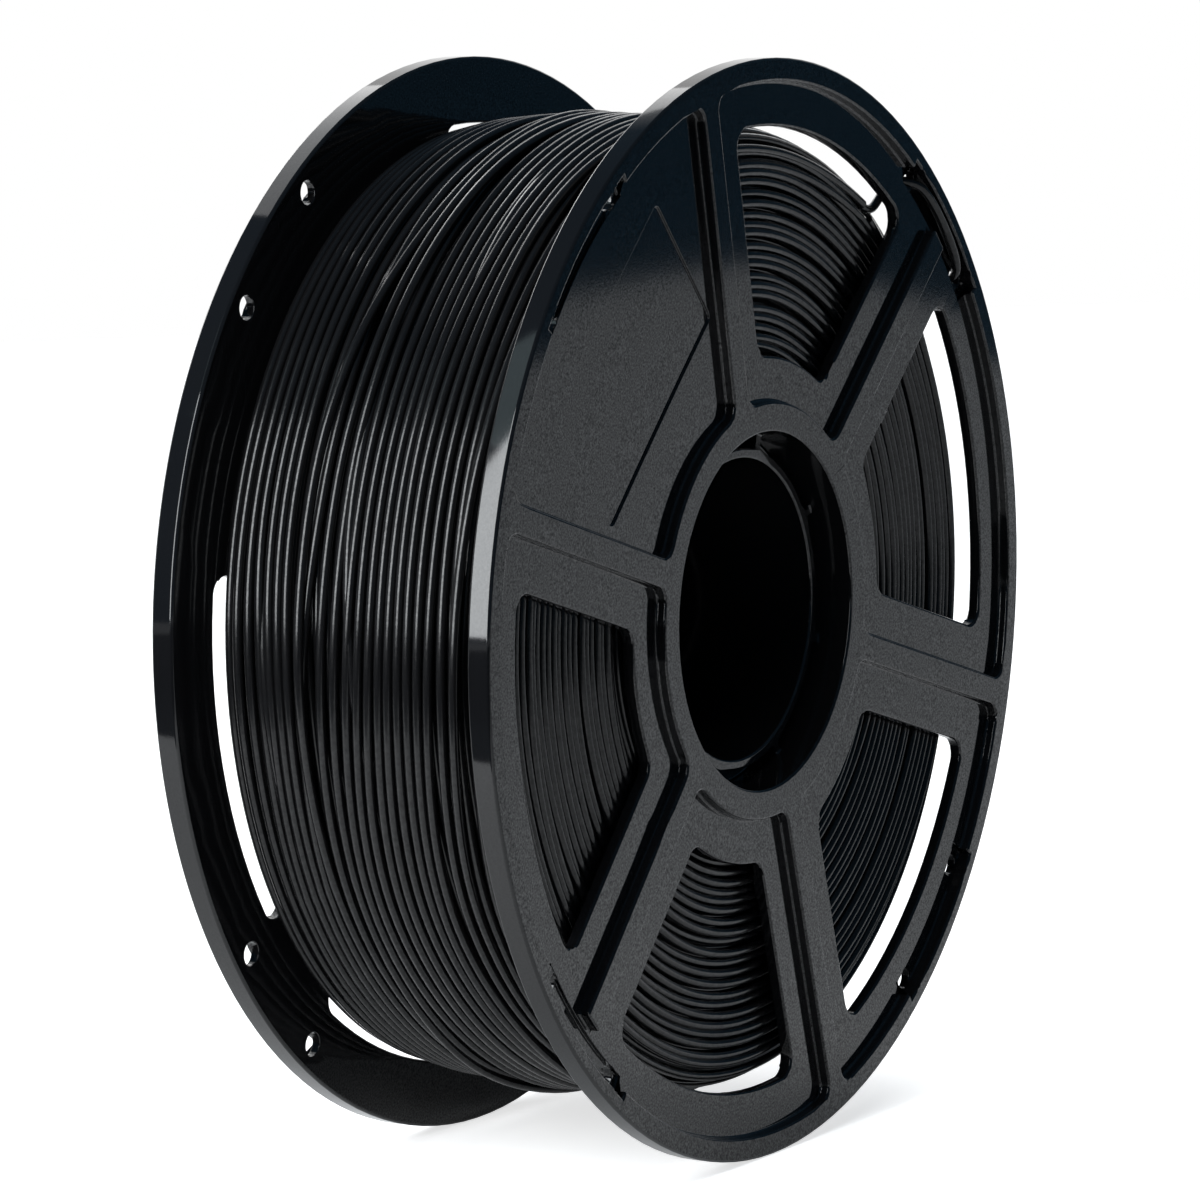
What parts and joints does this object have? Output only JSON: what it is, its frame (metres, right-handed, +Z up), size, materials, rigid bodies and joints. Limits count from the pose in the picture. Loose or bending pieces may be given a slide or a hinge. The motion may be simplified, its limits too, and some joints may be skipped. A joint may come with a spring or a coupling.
{
  "type": "filament spool",
  "caption": "Open spoked spool with two moulded flanges, a central spindle bore and wound plastic filament threaded through one flange.",
  "frame": {"origin": "on the spindle axis, half way between the two outer faces", "axes": "+Y along the spindle bore from the labelled front to the rear, +Z up as pictured, +X to the right seen from the front"},
  "size_m": [0.2, 0.068, 0.2],
  "materials": {
    "spool_plastic": "black moulded plastic with a satin gloss",
    "filament": "black extruded filament with a soft gloss"
  },
  "bodies": {
    "root": {"front_flange": "spool_plastic", "rear_flange": "spool_plastic", "filament_core": "filament", "filament_winding": "filament", "filament_tail": "filament"}
  },
  "joints": []
}
